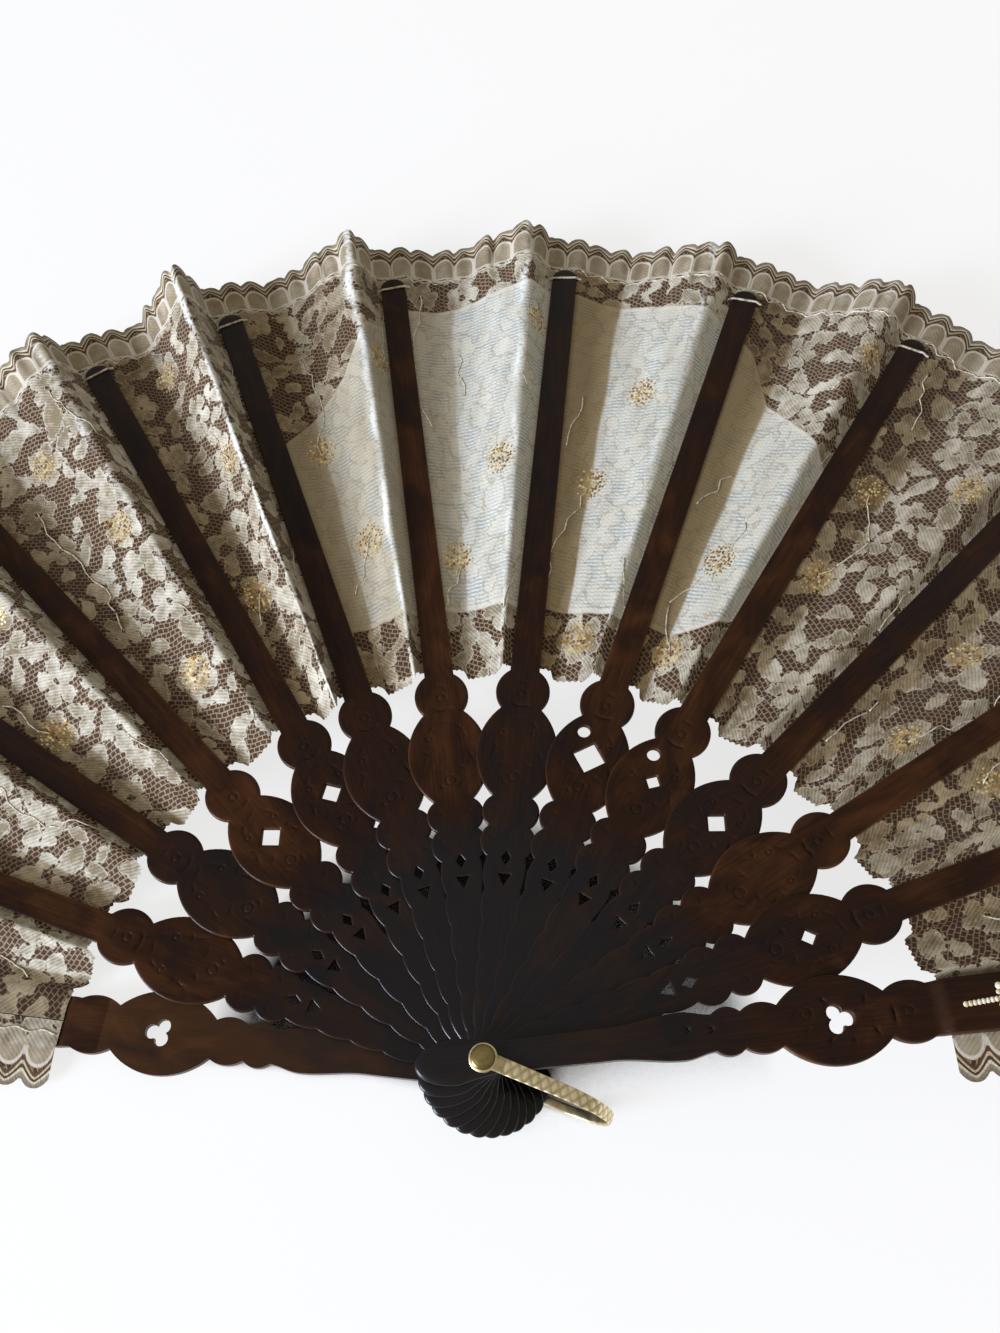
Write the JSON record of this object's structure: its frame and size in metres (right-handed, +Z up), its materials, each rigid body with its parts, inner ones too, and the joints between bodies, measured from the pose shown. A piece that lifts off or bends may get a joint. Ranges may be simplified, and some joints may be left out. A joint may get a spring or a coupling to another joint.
{
  "type": "folding hand fan",
  "caption": "Folding hand fan with pierced wooden ribs and guards on a rivet, a pleated lace leaf with a plain fabric panel behind its middle, and a brass hanging bail.",
  "frame": {"origin": "on the rivet's axis, on the plane that the open fan lies on: the flat end of the rivet's tail", "axes": "+Z up, along the rivet; +X to the right, +Y up the middle of the open leaf"},
  "size_m": [0.4441, 0.235, 0.0242],
  "materials": {
    "wood": "dark stained, polished",
    "brass": "stamped, polished",
    "lace": "machine lace",
    "linen": "plain woven"
  },
  "bodies": {
    "back_guard": {"back_guard": "wood", "leaf_pleat_01": "lace", "rivet": "brass", "leaf_end_back": "lace"},
    "rib_01": {"rib_01": "wood", "leaf_pleat_02": "lace"},
    "rib_02": {"rib_02": "wood", "leaf_pleat_03": "lace"},
    "rib_03": {"rib_03": "wood", "leaf_pleat_04": "lace"},
    "rib_04": {"rib_04": "wood", "leaf_pleat_05": "lace"},
    "rib_05": {"rib_05": "wood", "leaf_pleat_06": "lace", "panel_1": "linen"},
    "rib_06": {"rib_06": "wood", "leaf_pleat_07": "lace", "panel_2": "linen"},
    "rib_07": {"rib_07": "wood", "leaf_pleat_08": "lace", "panel_3": "linen"},
    "rib_08": {"rib_08": "wood", "leaf_pleat_09": "lace", "panel_4": "linen"},
    "rib_09": {"rib_09": "wood", "leaf_pleat_10": "lace"},
    "rib_10": {"rib_10": "wood", "leaf_pleat_11": "lace"},
    "rib_11": {"rib_11": "wood", "leaf_pleat_12": "lace"},
    "rib_12": {"rib_12": "wood", "leaf_pleat_13": "lace"},
    "front_guard": {"front_guard": "wood", "leaf_end_front": "lace"},
    "bail": {"bail": "brass"}
  },
  "joints": [
    {"name": "rib_01_fold", "type": "hinge", "parent": "back_guard", "child": "rib_01", "pos_m": [0, 0, 0], "axis": [0, 0, 1], "range_deg": [0, 13], "deforming": ["leaf_pleat_01"]},
    {"name": "rib_02_fold", "type": "hinge", "parent": "rib_01", "child": "rib_02", "pos_m": [0, 0, 0], "axis": [0, 0, 1], "range_deg": [0, 13.5], "deforming": ["leaf_pleat_02"]},
    {"name": "rib_03_fold", "type": "hinge", "parent": "rib_02", "child": "rib_03", "pos_m": [0, 0, 0], "axis": [0, 0, 1], "range_deg": [0, 12.5], "deforming": ["leaf_pleat_03"]},
    {"name": "rib_04_fold", "type": "hinge", "parent": "rib_03", "child": "rib_04", "pos_m": [0, 0, 0], "axis": [0, 0, 1], "range_deg": [0, 13.5], "deforming": ["leaf_pleat_04"]},
    {"name": "rib_05_fold", "type": "hinge", "parent": "rib_04", "child": "rib_05", "pos_m": [0, 0, 0], "axis": [0, 0, 1], "range_deg": [0, 10.5], "deforming": ["leaf_pleat_05"]},
    {"name": "rib_06_fold", "type": "hinge", "parent": "rib_05", "child": "rib_06", "pos_m": [0, 0, 0], "axis": [0, 0, 1], "range_deg": [0, 12.5], "deforming": ["leaf_pleat_06", "panel_1"]},
    {"name": "rib_07_fold", "type": "hinge", "parent": "rib_06", "child": "rib_07", "pos_m": [0, 0, 0], "axis": [0, 0, 1], "range_deg": [0, 13], "deforming": ["leaf_pleat_07", "panel_2"]},
    {"name": "rib_08_fold", "type": "hinge", "parent": "rib_07", "child": "rib_08", "pos_m": [0, 0, 0], "axis": [0, 0, 1], "range_deg": [0, 13.5], "deforming": ["leaf_pleat_08", "panel_3"]},
    {"name": "rib_09_fold", "type": "hinge", "parent": "rib_08", "child": "rib_09", "pos_m": [0, 0, 0], "axis": [0, 0, 1], "range_deg": [0, 12.5], "deforming": ["leaf_pleat_09", "panel_4"]},
    {"name": "rib_10_fold", "type": "hinge", "parent": "rib_09", "child": "rib_10", "pos_m": [0, 0, 0], "axis": [0, 0, 1], "range_deg": [0, 13.5], "deforming": ["leaf_pleat_10"]},
    {"name": "rib_11_fold", "type": "hinge", "parent": "rib_10", "child": "rib_11", "pos_m": [0, 0, 0], "axis": [0, 0, 1], "range_deg": [0, 12.5], "deforming": ["leaf_pleat_11"]},
    {"name": "rib_12_fold", "type": "hinge", "parent": "rib_11", "child": "rib_12", "pos_m": [0, 0, 0], "axis": [0, 0, 1], "range_deg": [0, 12.5], "deforming": ["leaf_pleat_12"]},
    {"name": "front_guard_fold", "type": "hinge", "parent": "rib_12", "child": "front_guard", "pos_m": [0, 0, 0], "axis": [0, 0, 1], "range_deg": [0, 14], "deforming": ["leaf_pleat_13"]},
    {"name": "bail_swing", "type": "hinge", "parent": "back_guard", "child": "bail", "pos_m": [0, 0, 0], "axis": [0, 0, 1], "range_deg": [-150, 13]}
  ],
  "couplings": [
    {"joint": "rib_02_fold", "follows": "rib_01_fold", "ratio": 1.0385},
    {"joint": "rib_03_fold", "follows": "rib_01_fold", "ratio": 0.96154},
    {"joint": "rib_04_fold", "follows": "rib_01_fold", "ratio": 1.0385},
    {"joint": "rib_05_fold", "follows": "rib_01_fold", "ratio": 0.80769},
    {"joint": "rib_06_fold", "follows": "rib_01_fold", "ratio": 0.96154},
    {"joint": "rib_07_fold", "follows": "rib_01_fold", "ratio": 1},
    {"joint": "rib_08_fold", "follows": "rib_01_fold", "ratio": 1.0385},
    {"joint": "rib_09_fold", "follows": "rib_01_fold", "ratio": 0.96154},
    {"joint": "rib_10_fold", "follows": "rib_01_fold", "ratio": 1.0385},
    {"joint": "rib_11_fold", "follows": "rib_01_fold", "ratio": 0.96154},
    {"joint": "rib_12_fold", "follows": "rib_01_fold", "ratio": 0.96154},
    {"joint": "front_guard_fold", "follows": "rib_01_fold", "ratio": 1.0769}
  ]
}
